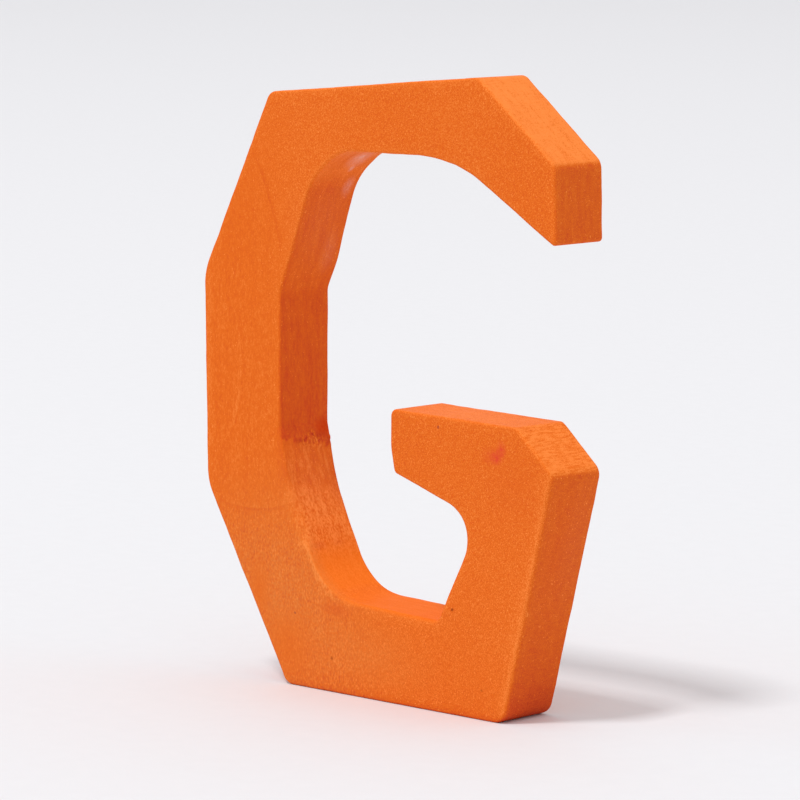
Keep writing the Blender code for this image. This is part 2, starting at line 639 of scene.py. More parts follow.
@dataclass(frozen=True)
class StainedLime:
    """Limewood, sawn by hand, sanded and soaked in an orange water stain, with no lacquer.

    Lime has pores too fine to see one by one, so the eye gets an even, dull orange with a fine
    salt-and-pepper speckle, faint long streaks up the grain and a few flat growth-ring arcs.
    The saw leaves fine lines across the walls, and worn rims are paler. The walls also carry
    painted light and shade: walls turned from the light are painted deeper and redder, and walls
    facing up into it paler. Bare wood is dull, so it is rough and has next to no gloss.

    Attributes:
        soaked: The darkest, reddest stain, at the lowest tone, which the painted shade along the frayed
            edge also reaches.
        deep: A deeper, redder stain, which walls painted as shaded take on.
        body: The stain on the faces.
        pale: The stain where it is lightest, at a tone of one.
        flushed: The bright stain on wood that was pared smooth.
        ridge_shade: A deep red painted shade on the ridge's back.
        blot: A red blot in the stain.
        speck: A dark speck.
        pit: The stain in a small pit.
        dry: Wood that took little stain.
        dust_and_sheen: A pale whitish colour, for painted sheen and dust on the walls.
        lowest_tone: The tone at which the stain is soaked.
        arc_line: Width over which a growth line fades.
        arc_depth: Depth at which a growth line has moved away from the face.
        arc_pale_at: Where a growth line is palest, from its inner edge at 0 to its outer edge at 1.
        arc_dark_at: Where it is darkest.
        fleck: Size of the flecks that break up a blemish.
        change_slant: How the change from streaks to speckle slants, across the letter and upwards.
        change: Where that change begins and ends, along the slant.
        coarse_height: Heights between which the lower left grows coarse.
        roughness_low: Roughness of the palest wood.
        roughness_high: Roughness of the deepest stain.
        relief: Height of the sanded grain.
        gloss: Level of the shine, where one half is plain plastic.
        layers: The layers that the grain is made of.
    """

    soaked: str = "#c0391a"
    deep: str = "#d6511f"
    body: str = "#e76b1b"
    pale: str = "#fe8d40"
    flushed: str = "#f97b1a"
    ridge_shade: str = "#d03c02"
    blot: str = "#e0442e"
    speck: str = "#7c2f38"
    pit: str = "#a03c08"
    dry: str = "#e28742"
    dust_and_sheen: str = "#f0b09c"
    lowest_tone: float = -0.5
    arc_line: float = 0.9
    arc_depth: float = 2.0
    arc_pale_at: float = 0.46
    arc_dark_at: float = 0.56
    fleck: float = 0.3
    change_slant: tuple[float, float, float] = (1.0, 0.0, 0.35)
    change: tuple[float, float] = (-6.0, 12.0)
    coarse_height: tuple[float, float] = (27.0, 19.0)
    roughness_low: float = 0.52
    roughness_high: float = 0.68
    relief: float = 0.012
    gloss: float = 0.05

    # The real fibres are about 0.03 mm wide; they are drawn as coarse as the picture can show.
    layers: tuple[GrainLayer, ...] = (
        GrainLayer((22.0, 9.0, 38.0), 0.20),
        GrainLayer((1.3, 1.3, 26.0), 0.14, 0.2, Reach.LEFT),
        GrainLayer((0.27, 0.27, 0.65), 0.36, 0.4, Reach.LEFT),
        GrainLayer((0.19, 0.19, 0.24), 0.36, 0.3),
        GrainLayer((0.14, 0.14, 0.13), 0.85, 0.3, Reach.RIGHT),
        GrainLayer((0.28, 0.28, 0.42), 0.90, 0.4, Reach.LOWER_LEFT),
        GrainLayer((1.1, 1.1, 1.6), 0.22, 0.0, Reach.LOWER_LEFT),
        GrainLayer((0.20, 0.20, 0.7), -0.45, -0.3, Reach.LOWER_LEFT, 0.60, 0.80),
        GrainLayer((0.24, 0.24, 0.24), 0.45, 0.0, Reach.EVERYWHERE, 0.73, 0.84),
        GrainLayer((0.24, 0.24, 0.24), 0.30, 0.0, Reach.RIGHT, 0.73, 0.84),
        GrainLayer((5.0, 0.9, 5.0), 0.40, 0.6, Reach.STREAKS),
        GrainLayer((1.6, 0.45, 1.6), 0.40, 0.6, Reach.STREAKS),
        GrainLayer((0.22, 1.7, 0.22), 0.75, 0.9, Reach.LINES),
        GrainLayer((0.55, 1.0, 0.55), 0.45, 0.3, Reach.LINES),
        GrainLayer((0.24, 0.55, 0.24), -0.35, -0.4, Reach.LINES, 0.68, 0.84),
        GrainLayer((0.30, 0.40, 0.9), 0.80, 1.0, Reach.TORN),
        GrainLayer((0.40, 0.40, 0.60), -0.40, -0.6, Reach.TORN, 0.64, 0.80),
    )

    def blemishes(self) -> tuple[Blemish, ...]:
        """Lists the spots and patches, each of which lies over those before it.

        Returns:
            The blemishes, in the order in which they are put on.
        """
        front = -5.0
        return (
            # The lower left stayed dry, apart from two patches; below the well's rim a painted shadow
            # darkens the face, and at the shoulder the stain is deeper
            Blemish((-18.0, front, 11.0), (27.0, 3.0, 25.0), self.dry, 0.45),
            Blemish((0.0, front, 5.5), (16.0, 2.0, 7.0), self.dry, 0.20),
            Blemish((-6.5, front, 11.8), (4.5, 2.0, 1.6), self.deep, 0.35),
            Blemish((26.0, front, 32.0), (9.0, 2.0, 8.0), self.deep, 0.12),
            Blemish((-16.0, front, 5.5), (8.0, 2.0, 7.5), self.body, 0.55),
            Blemish((-21.5, front, 12.5), (3.4, 2.0, 7.0), self.body, 0.55),
            # Painted sheen and dust: a faint whitish haze on the spine's inner side and on the leg, and
            # pale streaks in the crook
            Blemish((-14.5, 0.0, 65.0), (6.0, 7.0, 11.0), self.dust_and_sheen, 0.035),
            Blemish((-15.5, 0.0, 29.0), (5.0, 8.0, 9.0), self.dust_and_sheen, 0.030),
            Blemish((32.0, 3.0, 22.0), (6.0, 5.0, 18.0), self.dust_and_sheen, 0.025),
            Blemish((-8.6, 1.2, 74.2), (3.6, 2.8, 2.7), self.dust_and_sheen, 0.46),
            Blemish((-8.3, 1.3, 74.4), (0.9, 0.8, 0.8), self.dust_and_sheen, 0.5),
            Blemish((-10.5, 1.5, 72.6), (1.0, 0.7, 0.9), self.dust_and_sheen, 0.55),
            Blemish((-12.8, 3.0, 70.4), (1.7, 1.5, 3.0), self.dust_and_sheen, 0.34),
            Blemish((-16.0, 2.6, 61.0), (2.0, 2.2, 6.0), self.dust_and_sheen, 0.09),
            # Painted shade on the ridge's back and on the leg's side, and stain that stood in the hollow
            Blemish((-17.6, 4.0, 35.6), (2.0, 3.0, 2.2), self.ridge_shade, 0.8),
            Blemish((-12.6, -2.6, 19.8), (2.2, 2.2, 0.9), self.soaked, 0.35),
            Blemish((-15.8, 4.6, 27.5), (3.4, 2.6, 9.0), self.soaked, 0.27),
            # The leg is painted redder: painted shade on its side, which is turned from the light
            Blemish((30.6, -0.5, 20.0), (6.0, 6.5, 20.0), self.blot, 0.10),
            Blemish((-11.6, 1.0, 20.0), (2.2, 2.2, 0.7), self.soaked, 0.20),
            # The red blot beside the shoulder, in three overlapping parts
            Blemish((23.8, front, 37.2), (1.2, 1.0, 1.7), self.blot, 0.6),
            Blemish((22.9, front, 36.2), (1.6, 1.0, 1.5), self.blot, 0.65),
            Blemish((21.9, front, 36.2), (2.4, 1.0, 1.8), self.blot, 0.25),
            # Specks, pits and red dots on the front
            Blemish((12.3, front, 39.2), (0.34, 0.5, 0.34), self.speck, 0.8),
            Blemish((-7.2, front, 4.8), (0.40, 0.5, 0.46), self.pit, 0.8),
            Blemish((15.3, front, 14.5), (0.46, 0.5, 0.36), self.pit, 0.9),
            Blemish((20.9, front, 4.1), (0.40, 0.5, 0.30), self.pit, 0.6),
            Blemish((-14.4, front, 10.3), (0.34, 0.5, 0.30), self.speck, 0.5),
            Blemish((-7.9, front, 19.3), (0.34, 0.5, 0.34), self.blot, 0.9),
            Blemish((-14.0, front, 26.2), (0.45, 0.5, 0.45), self.blot, 0.8),
        )

    def growth_arcs(self) -> tuple[GrowthArc, ...]:
        """Lists the growth lines that show.

        Returns:
            Three lines on the spine's front, and two on its back.
        """
        front, back = -5.0, 5.0
        return (
            GrowthArc((-24.2, front, 40.0), 20.0, 15.8, (-21.5, front, 24.6), 10.5, -0.15, 0.05),
            GrowthArc((-30.2, front, 44.0), 4.9, 11.4, (-28.0, front, 42.0), 12.5, -0.07, 0.08),
            GrowthArc((-37.5, front, 40.0), 22.4, 44.1, (-20.4, front, 67.5), 9.5, -0.15, 0.0),
            GrowthArc((-22.0, back, 62.0), 13.0, 30.0, (-22.0, back, 34.0), 12.0, -0.12, 0.05),
            GrowthArc((-25.0, back, 66.0), 5.5, 22.0, (-24.0, back, 50.0), 13.0, -0.10, 0.06),
        )

    def material(self) -> bpy.types.Material:
        """Builds the wood's solid pattern, the same through the whole board.

        Returns:
            The material, with its colour, roughness and relief from one set of grain layers.
        """
        material = bpy.data.materials.new("sanded_limewood_orange_stain")
        material.use_nodes = True
        tree = material.node_tree
        surface = tree.nodes["Principled BSDF"]
        place = add_node(tree, "TexCoord").outputs["Object"]
        tone, relief = self.grain(tree, place)
        tone = self.growth_lines(tree, place, tone)
        # The stain mark carries painted light and shade of the walls and rims, besides the stain's own
        # changes
        stain = add_node(tree, "Attribute", attribute_name=STAIN_WITH_PAINTED_LIGHT).outputs["Fac"]
        tone = add_node(tree, "Math", {0: tone, 1: stain}, operation="ADD").outputs[0]
        shade = add_node(tree, "MapRange", {"Value": tone, "From Min": self.lowest_tone})
        colour = add_node(tree, "ValToRGB", {"Fac": shade.outputs["Result"]})
        stops = colour.color_ramp.elements
        stops[0].color = linear(self.soaked)
        stops[1].color = linear(self.pale)
        stops.new(1 / 3).color = linear(self.deep)
        stops.new(2 / 3).color = linear(self.body)
        flush = add_node(tree, "Attribute", attribute_name=FLUSH).outputs["Fac"]
        bright = add_node(
            tree, "Mix",
            {"Factor": flush, "A": colour.outputs["Color"], "B": linear(self.flushed)},
            data_type="RGBA",
        )
        spotted = self.spots(tree, place, bright.outputs["Result"])
        rough = add_node(
            tree, "MapRange",
            {"Value": tone, "To Min": self.roughness_high, "To Max": self.roughness_low},
        )
        bump = add_node(tree, "Bump", {"Height": relief, "Distance": self.relief * MM, "Strength": 1.0})
        surface.inputs["Specular IOR Level"].default_value = self.gloss
        tree.links.new(spotted, surface.inputs["Base Color"])
        tree.links.new(rough.outputs["Result"], surface.inputs["Roughness"])
        tree.links.new(bump.outputs["Normal"], surface.inputs["Normal"])
        return material

    def masks(self, tree: bpy.types.NodeTree, place: bpy.types.NodeSocket) -> dict[Reach, Any]:
        """Tells where each kind of layer shows.

        Args:
            tree: The material's node tree.
            place: The place in the board, in metres.

        Returns:
            A share from 0 to 1 for each reach.
        """
        height = add_node(tree, "SeparateXYZ", {0: place}).outputs["Z"]
        slant = add_node(tree, "VectorMath", {0: place, 1: self.change_slant}, operation="DOT_PRODUCT")
        start, end = [value * MM for value in self.change]
        right = add_node(
            tree, "MapRange", {"Value": slant.outputs["Value"], "From Min": start, "From Max": end}
        ).outputs["Result"]
        start, end = [value * MM for value in self.coarse_height]
        low = add_node(
            tree, "MapRange", {"Value": height, "From Min": start, "From Max": end}
        ).outputs["Result"]
        left = add_node(tree, "Math", {0: 1.0, 1: right}, operation="SUBTRACT").outputs[0]
        shares = {
            Reach.EVERYWHERE: 1.0,
            Reach.LEFT: left,
            Reach.RIGHT: right,
            Reach.LOWER_LEFT: add_node(tree, "Math", {0: low, 1: left}, operation="MULTIPLY").outputs[0],
        }
        for mark in WALL_MARKS:
            shares[mark] = add_node(tree, "Attribute", attribute_name=mark.value).outputs["Fac"]
        return shares

    def grain(
        self, tree: bpy.types.NodeTree, place: bpy.types.NodeSocket
    ) -> tuple[bpy.types.NodeSocket, bpy.types.NodeSocket]:
        """Adds up the layers of the grain.

        Args:
            tree: The material's node tree.
            place: The place in the board, in metres.

        Returns:
            The stain's tone, about one half on average, and the height of the sanded surface.
        """
        masks = self.masks(tree, place)
        tone: Any = NOISE_AVERAGE
        relief: Any = 0.0
        for layer in self.layers:
            scale = [1 / (size * MM) for size in layer.size]
            spot = add_node(tree, "VectorMath", {0: place, 1: scale}, operation="MULTIPLY")
            cloud = add_node(tree, "TexNoise", {"Vector": spot.outputs[0], "Scale": 1.0, "Detail": 0.0})
            average = NOISE_AVERAGE if layer.low == 0.0 else 0.0
            mark = add_node(
                tree, "MapRange",
                {"Value": cloud.outputs["Fac"], "From Min": layer.low, "From Max": layer.high,
                 "To Min": -average, "To Max": 1.0 - average},
            )
            shown = add_node(
                tree, "Math", {0: mark.outputs["Result"], 1: masks[layer.reach]}, operation="MULTIPLY"
            ).outputs[0]
            tone = add_node(
                tree, "Math", {0: shown, 1: layer.tone, 2: tone}, operation="MULTIPLY_ADD"
            ).outputs[0]
            relief = add_node(
                tree, "Math", {0: shown, 1: layer.relief, 2: relief}, operation="MULTIPLY_ADD"
            ).outputs[0]
        return tone, relief

    @staticmethod
    def nearness(
        tree: bpy.types.NodeTree,
        place: bpy.types.NodeSocket,
        middle: Sequence[float],
        reach: Sequence[float],
        full: float,
    ) -> bpy.types.NodeSocket:
        """Tells how near a place is to the middle of a patch.

        Args:
            tree: The material's node tree.
            place: The place in the board, in metres.
            middle: The patch's middle.
            reach: The patch's radii along X, Y and Z.
            full: The value at its middle.

        Returns:
            A value that falls smoothly to nothing at the patch's edge.
        """
        offset = add_node(
            tree, "VectorMath", {0: place, 1: [value * MM for value in middle]}, operation="SUBTRACT"
        )
        scale = [1 / (value * MM) for value in reach]
        scaled = add_node(tree, "VectorMath", {0: offset.outputs[0], 1: scale}, operation="MULTIPLY")
        away = add_node(tree, "VectorMath", {0: scaled.outputs[0]}, operation="LENGTH")
        return add_node(
            tree, "MapRange",
            {"Value": away.outputs["Value"], "From Min": 1.0, "From Max": 0.0, "To Max": full},
            interpolation_type="SMOOTHSTEP",
        ).outputs["Result"]

    def growth_lines(
        self, tree: bpy.types.NodeTree, place: bpy.types.NodeSocket, tone: bpy.types.NodeSocket
    ) -> bpy.types.NodeSocket:
        """Draws the growth lines, dark outside their ovals and paler inside.

        Args:
            tree: The material's node tree.
            place: The place in the board, in metres.
            tone: The tone so far.

        Returns:
            The tone with the growth lines.
        """
        unchanged = 0.5  # the grey in a line's profile that leaves the tone alone
        plateau = 2.0  # nearness that is cut off at one, so half of the shown stretch is full
        width = 2 * self.arc_line * MM
        for arc in self.growth_arcs():
            scale = (1 / (arc.half_width * MM), 0.0, 1 / (arc.half_height * MM))
            middle = [value * MM for value in arc.middle]
            offset = add_node(tree, "VectorMath", {0: place, 1: middle}, operation="SUBTRACT")
            scaled = add_node(tree, "VectorMath", {0: offset.outputs[0], 1: scale}, operation="MULTIPLY")
            slope = add_node(tree, "VectorMath", {0: scaled.outputs[0], 1: scale}, operation="MULTIPLY")
            square = add_node(
                tree, "VectorMath", {0: scaled.outputs[0], 1: scaled.outputs[0]}, operation="DOT_PRODUCT"
            )
            steepness = add_node(tree, "VectorMath", {0: slope.outputs[0]}, operation="LENGTH")
            outside = add_node(tree, "Math", {0: square.outputs["Value"], 1: 1.0}, operation="SUBTRACT")
            away = add_node(
                tree, "Math", {0: outside.outputs[0], 1: steepness.outputs["Value"]}, operation="DIVIDE"
            )
            across = add_node(
                tree, "MapRange", {"Value": away.outputs[0], "From Min": -width, "From Max": width}
            )
            profile = add_node(tree, "ValToRGB", {"Fac": across.outputs["Result"]})
            stops = profile.color_ramp.elements
            for stop in (stops[0], stops[1]):
                stop.color = (unchanged, unchanged, unchanged, 1.0)
            for position, change in ((self.arc_pale_at, arc.pale), (self.arc_dark_at, arc.dark)):
                grey = unchanged + change
                stops.new(position).color = (grey, grey, grey, 1.0)
            reach = (arc.shown, self.arc_depth, arc.shown)
            seen = self.nearness(tree, place, arc.shown_at, reach, plateau)
            seen = add_node(tree, "Math", {0: seen, 1: 1.0}, operation="MINIMUM").outputs[0]
            change = add_node(
                tree, "Math", {0: profile.outputs["Color"], 1: unchanged}, operation="SUBTRACT"
            )
            tone = add_node(
                tree, "Math", {0: change.outputs[0], 1: seen, 2: tone}, operation="MULTIPLY_ADD"
            ).outputs[0]
        return tone

    def spots(
        self, tree: bpy.types.NodeTree, place: bpy.types.NodeSocket, colour: bpy.types.NodeSocket
    ) -> bpy.types.NodeSocket:
        """Puts the blemishes on the wood.

        Args:
            tree: The material's node tree.
            place: The place in the board, in metres.
            colour: The stained wood's colour.

        Returns:
            The colour with its spots.
        """
        flecks = add_node(
            tree, "TexNoise", {"Vector": place, "Scale": 1 / (self.fleck * MM), "Detail": 1.0}
        )
        for blemish in self.blemishes():
            full = blemish.strength / NOISE_AVERAGE
            edge = self.nearness(tree, place, blemish.place, blemish.reach, full)
            patchy = add_node(
                tree, "Math", {0: edge, 1: flecks.outputs["Fac"]},
                operation="MULTIPLY", use_clamp=True,
            )
            colour = add_node(
                tree, "Mix",
                {"Factor": patchy.outputs[0], "A": colour, "B": linear(blemish.colour)},
                data_type="RGBA",
            ).outputs["Result"]
        return colour


@dataclass
class SawnLetter:
    """The letter itself, sawn from one board and sanded along its rims.

    Attributes:
        outline: The drawing that the saw followed.
        finish: The wood and its stain.
        fray: The frayed edge below the ridge.
        thickness: The board's thickness.
        back_rim: How far the rim is rounded on the back.
        rim_wobble: How unevenly the rims are rounded, its depth as a share of the rounding.
        rim_steps: Facets round a rim.
        wall_steps: Facets through the board's thickness.
        face_spacing: Spacing of the points on the flat faces.
        rim_gap: Least distance of those points from the rim, as a share of their spacing.
        crown_drop: How far the faces fall towards their rims.
        crown_reach: How far from the rim that fall begins.
        wear_reach: How far from the rim the wear fades, as a share of the rim's rounding.
        hollow_rim: Rounding of the rim beside the hollow, where it is rubbed away.
        pocket_height: Height of the pared pocket in the well, below the rubbed rim.
        pocket_edge: Height over which the rim is rubbed away above the pocket.
        rubbed_end: How far along the path before the ridge the rubbed rim ends.
        rubbed_ease: Length over which it fades there.
        pared: How bright the stain stayed in the pocket, which was pared smooth.
        pared_start: Length before the well's corner over which that begins.
        pared_edge: How far above and below the pocket's height it fades.
        torn_fade: How much less torn the walls are on the back.
        ground_tone: How much paler the walls are just above the ground, darker where negative.
        ground_tone_reach: How far up that reaches.
        edge_flush: How much brighter the stain is along the back rim.
        edge_reach: How far from the back rim that fades.
        foot_ease: Height above the ground over which the walls begin to stray.
        saw_drift: How the saw strayed in long waves.
        saw_turns: How it strayed from one stroke to the next.
        sanding: How sandpaper left the walls uneven.
        tearing: How torn fibres left them uneven.
        waves: Where the saw strayed on the back of the spine's inner side.
    """

    outline: LetterOutline
    finish: StainedLime
    fray: FrayedEdge
    thickness: float = 10.0
    back_rim: float = 0.4
    rim_wobble: Unevenness = Unevenness(depth=0.3, along=3.5, across=1.0, seed=7.3)
    rim_steps: int = 6
    wall_steps: int = 24
    face_spacing: float = 0.75
    rim_gap: float = 0.55
    crown_drop: float = 0.05
    crown_reach: float = 1.1
    wear_reach: float = 1.0
    hollow_rim: float = 1.8
    pocket_height: float = 19.6
    pocket_edge: float = 2.6
    rubbed_end: float = 4.5
    rubbed_ease: float = 9.0
    pared: float = 0.75
    pared_start: float = 4.0
    pared_edge: float = 2.2
    torn_fade: float = 0.6
    ground_tone: float = -0.66
    ground_tone_reach: float = 5.5
    edge_flush: float = 0.16
    edge_reach: float = 0.8
    foot_ease: float = 1.0
    saw_drift: Unevenness = Unevenness(depth=0.06, along=9.0, across=24.0, seed=1.7)
    saw_turns: Unevenness = Unevenness(depth=0.035, along=2.6, across=14.0, seed=4.1)
    sanding: Unevenness = Unevenness(depth=0.015, along=0.8, across=16.0, seed=9.4)
    tearing: Unevenness = Unevenness(depth=0.08, along=1.1, across=1.6, seed=12.9)
    waves: tuple[Wave, ...] = (
        Wave(69.6, 0.15, 2.0),
        Wave(66.5, 0.08, 1.7),
        Wave(59.8, -0.34, 2.6),
        Wave(37.4, 0.08, 1.7),
        Wave(17.0, -0.07, 1.7),
    )

    def cuts(self) -> dict[str, Cut]:
        """Lists the cuts whose finish isn't the plain one.

        Returns:
            The cuts, by the name of the corner where each starts.
        """
        # Painted light and shade: most stain values below are set by the way each wall faces. Walls
        # facing up, and the arm's underside, are painted paler and brighter; walls facing the letter's
        # right are painted deeper and redder.
        return {
            # Painted shade where the letter meets the ground: the foot's underside and its rim are
            # painted darker.
            "foot_left": Cut(stain=-0.3, wear_and_shade=-0.2, spare=0.0),
            "foot_right": Cut(stain=-0.15, lines=0.3, rim=0.6, wear_and_shade=0.18, spare=0.09),
            "shoulder": Cut(stain=0.3, lines=1.0, rim=0.4, spare=0.06, flush=0.2),
            "bar_cut": Cut(stain=0.2, lines=0.2, rim=0.4, spare=-0.03),
            "bar_top": Cut(stain=-0.1, wear_and_shade=0.0, spare=0.06),
            "bar_square": Cut(stain=-0.1, wear_and_shade=0.0, spare=0.06),
            "bar_low": Cut(stain=-0.1, spare=0.0),
            "bowl": Cut(stain=-0.1, spare=0.0),
            "bowl_floor": Cut(
                stain=0.02, lines=0.2, streaks=0.9, rim=0.6, wear_and_shade=0.08, spare=0.04, flush=0.65
            ),
            "well": Cut(stain=0.3, lines=0.1, streaks=0.8, torn=0.9, rim=0.26, wear_and_shade=0.5, spare=0.08),
            # Painted shade: the hollow's rim is painted darker, against the brightness where its rounded
            # rim turns to the light.
            "hollow": Cut(stain=0.07, lines=0.1, streaks=1.0, torn=0.2, rim=0.3, wear_and_shade=-0.12, spare=0.03),
            "ridge": Cut(stain=-0.3, lines=0.1, streaks=0.8, rim=0.4, spare=0.02),
            "knee": Cut(stain=-0.16, lines=0.1, streaks=0.7, spare=0.06),
            "crook": Cut(stain=0.03, lines=0.1, streaks=0.7, spare=0.04, flush=0.25),
            "arch": Cut(stain=0.26, lines=0.1, streaks=0.7, spare=0.0),
            "brow": Cut(stain=-0.1, rim=0.5, spare=-0.05),
            "tip_low": Cut(stain=-0.15, lines=0.1, streaks=0.7, rim=0.42, spare=0.0),
            "tip_high": Cut(stain=0.44, lines=0.4, streaks=0.8, rim=0.4, spare=0.03, flush=0.12),
            "top_right": Cut(stain=0.25, lines=0.2, spare=0.02),
            "hip_low": Cut(spare=0.05),
        }

    def build(self) -> bpy.types.Object:
        """Builds the letter's mesh.

        Returns:
            The letter's object, linked into the scene.
        """
        trace = self.outline.trace()
        places, marks = self.walls(trace)
        wear_and_shade = self.wear_and_shade(trace)
        fade = self.wear_reach * self.front_rim(trace)
        rings, stations = places.shape[:2]
        points = [places.reshape(-1, 3)]
        index = np.arange(rings * stations).reshape(rings, stations)
        ahead = np.roll(index, -1, axis=1)
        quads = np.stack((index[:-1], index[1:], ahead[1:], ahead[:-1]), axis=-1).reshape(-1, 4)
        faces: list[list[int]] = quads.tolist()
        total = rings * stations
        for ring, front in ((0, True), (rings - 1, False)):
            inner, triangles, distance, nearest = self.flat_face(places[ring][:, [0, 2]])
            sink = self.crown_drop * np.exp(-distance / self.crown_reach) - self.thickness / 2
            depth = sink if front else -sink
            points.append(np.column_stack((inner[:, 0], depth, inner[:, 1])))
            rubbed = wear_and_shade[nearest] * np.exp(-distance / fade[nearest])
            for name, values in marks.items():
                values.append(rubbed if name == STAIN_WITH_PAINTED_LIGHT else np.zeros_like(rubbed))
            for triangle in triangles:
                corners = [index[ring][v] if v < stations else total + v - stations for v in triangle]
                faces.append(corners if front else corners[::-1])
            total += len(inner)
        mesh = bpy.data.meshes.new("sawn_letter")
        mesh.from_pydata((np.vstack(points) * MM).tolist(), [], faces)
        mesh.shade_smooth()
        for name, values in marks.items():
            mark = mesh.attributes.new(name, "FLOAT", "POINT")
            mark.data.foreach_set("value", np.concatenate(values))
        letter = bpy.data.objects.new("sawn_letter", mesh)
        bpy.context.scene.collection.objects.link(letter)
        return letter

    def starts(self, trace: TracedOutline) -> dict[str, float]:
        """Gives the length of the saw's path up to each corner, by the corner's name."""
        return dict(zip(self.outline.corners(), trace.marks))

    def by_cut(self, trace: TracedOutline, name: str, run: np.ndarray) -> np.ndarray:
        """Spreads one property of the cuts over places along the saw's path.

        Args:
            trace: The outline's stations.
            name: The property of a cut.
            run: Length along the saw's path at each place.

        Returns:
            The property at each place.
        """
        cuts, plain = self.cuts(), Cut()
        values = [getattr(cuts.get(corner, plain), name) for corner in self.outline.corners()]
        return trace.by_cut(values, run)

    def wear_and_shade(self, trace: TracedOutline) -> np.ndarray:
        """Gives how much paler the front rim is worn at each station, darker where a negative value
        paints shade, and none where it is rubbed away.
        """
        return self.by_cut(trace, "wear_and_shade", trace.run) * (1 - self.rubbed_away(trace))

    def front_rim(self, trace: TracedOutline) -> np.ndarray:
        """Gives the rounding of the front rim at each station."""
        away = self.rubbed_away(trace)
        return self.by_cut(trace, "rim", trace.run) * (1 - away) + self.hollow_rim * away

    def above_pocket(self, trace: TracedOutline) -> np.ndarray:
        """Gives how far each station lies above the pared pocket, from 0 to 1."""
        return np.clip((trace.points[:, 1] - self.pocket_height) / self.pocket_edge, 0.0, 1.0)

    def rubbed_away(self, trace: TracedOutline) -> np.ndarray:
        """Tells where the front rim is rubbed away, beside the hollow and above the well.

        Args:
            trace: The outline's stations.

        Returns:
            A share from 0 to 1 at each station.
        """
        start = self.starts(trace)
        below = np.clip((start["ridge"] - trace.run - self.rubbed_end) / self.rubbed_ease, 0.0, 1.0)
        beside = (trace.run > start["well"]) & (trace.run < start["ridge"])
        return eased(np.where(beside, np.minimum(self.above_pocket(trace), below), 0.0))

    def pared_smooth(self, trace: TracedOutline, run: np.ndarray) -> np.ndarray:
        """Tells how bright the stain stayed on the walls that were pared smooth.

        Args:
            trace: The outline's stations.
            run: Length along the saw's path at each point.

        Returns:
            The brightness at each point, from the cuts and from the pocket in the well.
        """
        start = self.starts(trace)
        stretch = (start["well"] - self.pared_start, start["well"], start["hollow"])
        in_well = np.interp(run, stretch, (0.0, 1.0, 1.0), right=0.0)
        room = self.pocket_height + self.pared_edge - trace.points[:, 1]
        below = np.clip(room / (2 * self.pared_edge), 0.0, 1.0)
        return np.maximum(self.by_cut(trace, "flush", run), self.pared * in_well * eased(below))

    def rings(self, trace: TracedOutline) -> tuple[np.ndarray, np.ndarray, np.ndarray]:
        """Lays rings of points round the letter, from the front face's rim to the back's.

        Args:
            trace: The outline's stations.

        Returns:
            For each ring and station, the depth behind the front face, the way into the wood that
            the rims' rounding takes, and how much a point lies on a rim and not on a wall.
        """
        turn = np.linspace(0.0, math.pi / 2, self.rim_steps + 1)[:, None]
        wobble = self.rim_wobble.field(trace.run, np.zeros_like(trace.run))
        front = self.front_rim(trace) * (1 + wobble)
        back = self.back_rim * (1 - wobble)
        wall = self.thickness - 2 * self.crown_drop - front - back
        share = np.linspace(0.0, 1.0, self.wall_steps + 1)[1:-1, None]
        flat = np.zeros((len(share), len(front)))
        depth = np.vstack((
            self.crown_drop + front * (1 - np.cos(turn)),
            self.crown_drop + front + wall * share,
            self.thickness - self.crown_drop - (back * (1 - np.cos(turn)))[::-1],
        ))
        inset = np.vstack((front * (1 - np.sin(turn)), flat, (back * (1 - np.sin(turn)))[::-1]))
        rim = np.cos(turn) ** 2 * np.ones_like(front)
        return depth, inset, np.vstack((rim, flat, rim[::-1]))

    def walls(self, trace: TracedOutline) -> tuple[np.ndarray, dict[str, list[np.ndarray]]]:
        """Saws and sands the walls, and marks how they took the stain.

        Args:
            trace: The outline's stations.

        Returns:
            The places of the points, as rings by stations by xyz, and the marks of the work.
        """
        depth, inset, rim = self.rings(trace)
        through = depth / self.thickness
        frayed = self.fray.tear(trace.run, self.starts(trace)["ridge"], depth, self.thickness)
        torn = self.by_cut(trace, "torn", frayed.run) * self.above_pocket(trace)
        torn = torn * (1 - self.torn_fade * through) + frayed.torn
        inset = inset + self.strays(trace, depth, torn) - frayed.fibres
        inset = inset - self.by_cut(trace, "spare", trace.run)
        corners = self.outline.corners().values()
        drift = (1 - through) * trace.by_corner([corner.front_dx for corner in corners])
        drift = drift + through * trace.by_corner([corner.back_dx for corner in corners])
        low, high = np.array(cad_box) / MM
        x = np.clip(trace.points[:, 0] + trace.inward[:, 0] * inset + drift, low[0], high[0])
        z = np.clip(trace.points[:, 1] + trace.inward[:, 1] * inset, low[2], high[2])
        # The walls' stain mark: each cut's value, mostly painted light and shade by the way the wall
        # faces, plus the painted shade along the frayed edge
        stain = self.by_cut(trace, "stain", frayed.run) + frayed.stain
        # The walls grow darker towards the ground.
        stain = stain + self.ground_tone * np.exp(-z / self.ground_tone_reach)
        edge = self.edge_flush * np.exp(-(self.thickness - depth) / self.edge_reach)
        marks = {
            STAIN_WITH_PAINTED_LIGHT: stain * (1 - rim) + self.wear_and_shade(trace) * rim,
            FLUSH: np.maximum(self.pared_smooth(trace, frayed.run), edge) * (1 - rim),
            Reach.LINES.value: self.by_cut(trace, "lines", frayed.run) * (1 - rim),
            Reach.STREAKS.value: self.by_cut(trace, "streaks", frayed.run) * (1 - rim),
            Reach.TORN.value: torn * (1 - rim),
        }
        places = np.stack((x, depth - self.thickness / 2, z), axis=-1)
        return places, {name: [values.ravel()] for name, values in marks.items()}

